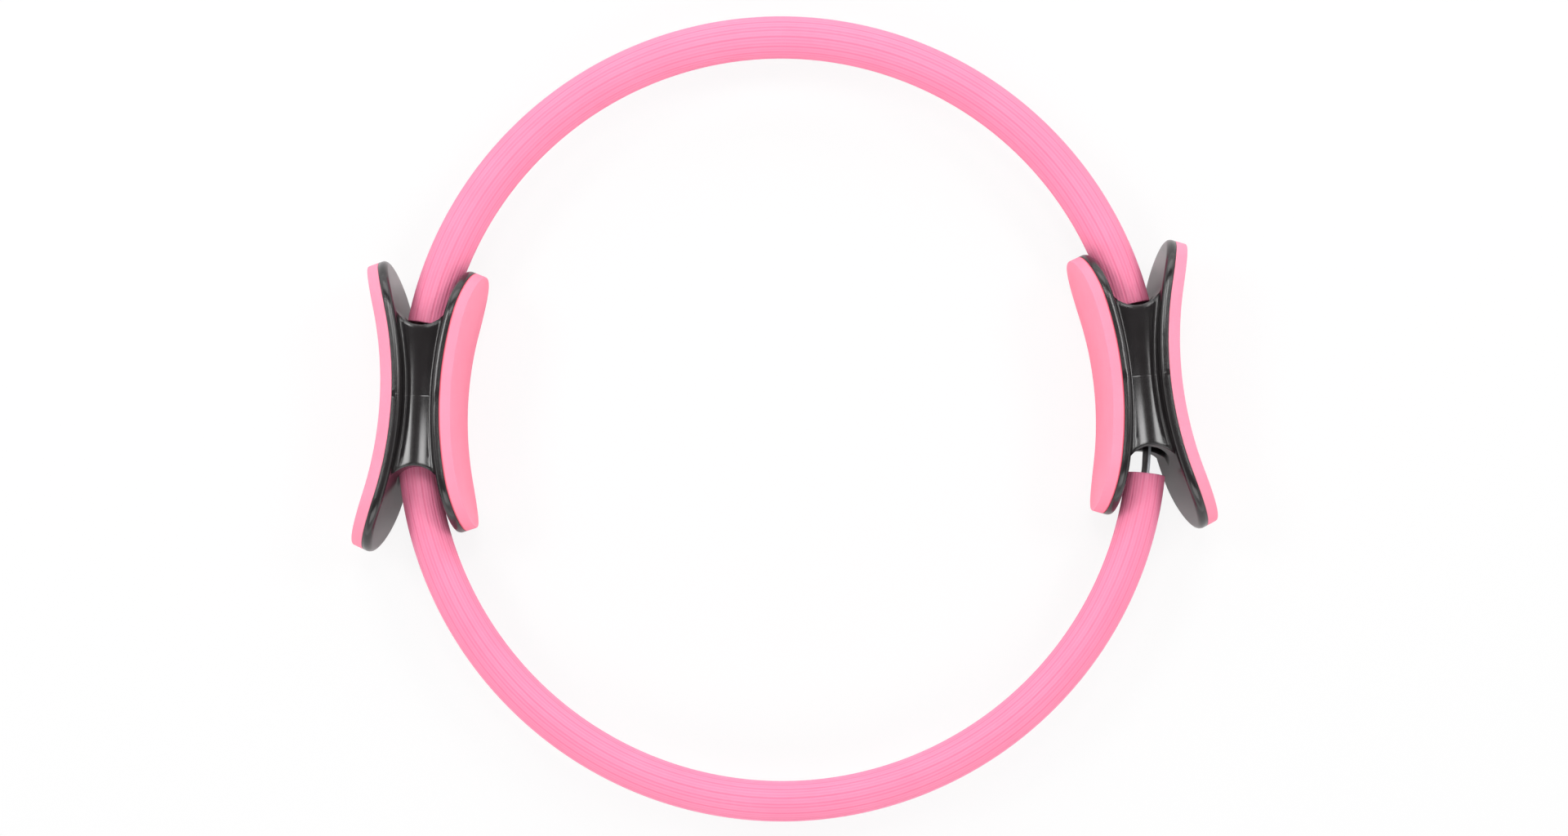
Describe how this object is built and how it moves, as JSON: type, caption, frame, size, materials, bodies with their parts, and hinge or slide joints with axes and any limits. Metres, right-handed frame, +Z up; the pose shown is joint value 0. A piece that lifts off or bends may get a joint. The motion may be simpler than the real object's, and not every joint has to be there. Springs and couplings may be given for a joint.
{
  "type": "pilates ring",
  "caption": "Springy exercise ring of foam-covered steel bands, held at each side by a black moulded grip with foam pads inside and out, to squeeze or push apart.",
  "frame": {"origin": "under the middle of the ring, on the surface that it lies on", "axes": "+Z up along the ring's axis, +X through the right grip, +Y through the middle of the upper arc"},
  "size_m": [0.4026, 0.3792, 0.052],
  "materials": {
    "black_plastic": "semi-gloss black moulded plastic",
    "pad_foam": "matte pink closed-cell foam",
    "sleeve_foam": "pink foam tube with fine ribs along it and a soft sheen",
    "spring_steel": "dark blued spring steel with bright cut edges",
    "zinc_steel": "zinc-plated steel"
  },
  "bodies": {
    "left_grip": {"left_upper_shell": "black_plastic", "left_lower_shell": "black_plastic", "left_outer_pad": "pad_foam", "left_inner_pad": "pad_foam", "left_screws": "zinc_steel", "left_nuts": "zinc_steel"},
    "upper_arc": {"upper_band": "spring_steel", "upper_sleeve": "sleeve_foam"},
    "right_grip": {"right_upper_shell": "black_plastic", "right_lower_shell": "black_plastic", "right_outer_pad": "pad_foam", "right_inner_pad": "pad_foam", "right_upper_screw": "zinc_steel", "right_upper_nut": "zinc_steel"},
    "lower_arc": {"lower_band": "spring_steel", "lower_sleeve": "sleeve_foam"},
    "lower_anchor": {"right_lower_screw": "zinc_steel", "right_lower_nut": "zinc_steel"}
  },
  "joints": [
    {"name": "upper_left_quarter", "type": "slide", "parent": "left_grip", "child": "upper_arc", "axis": [-0.7071, 0.7071, 0], "range_m": [-0.0212, 0.0566], "stiffness_N_per_m": 500, "deforming": ["upper_band", "upper_sleeve"]},
    {"name": "upper_right_quarter", "type": "slide", "parent": "upper_arc", "child": "right_grip", "axis": [-0.7071, -0.7071, 0], "range_m": [-0.0212, 0.0566], "stiffness_N_per_m": 500},
    {"name": "lower_left_quarter", "type": "slide", "parent": "left_grip", "child": "lower_arc", "axis": [-0.7071, -0.7071, 0], "range_m": [-0.0212, 0.0566], "stiffness_N_per_m": 500, "deforming": ["lower_band", "lower_sleeve"]},
    {"name": "lower_right_quarter", "type": "slide", "parent": "lower_arc", "child": "lower_anchor", "axis": [-0.7071, 0.7071, 0], "range_m": [-0.0212, 0.0566], "stiffness_N_per_m": 500}
  ],
  "couplings": [
    {"joint": "upper_right_quarter", "follows": "upper_left_quarter", "ratio": 1},
    {"joint": "lower_left_quarter", "follows": "upper_left_quarter", "ratio": 1},
    {"joint": "lower_right_quarter", "follows": "upper_left_quarter", "ratio": 1}
  ]
}
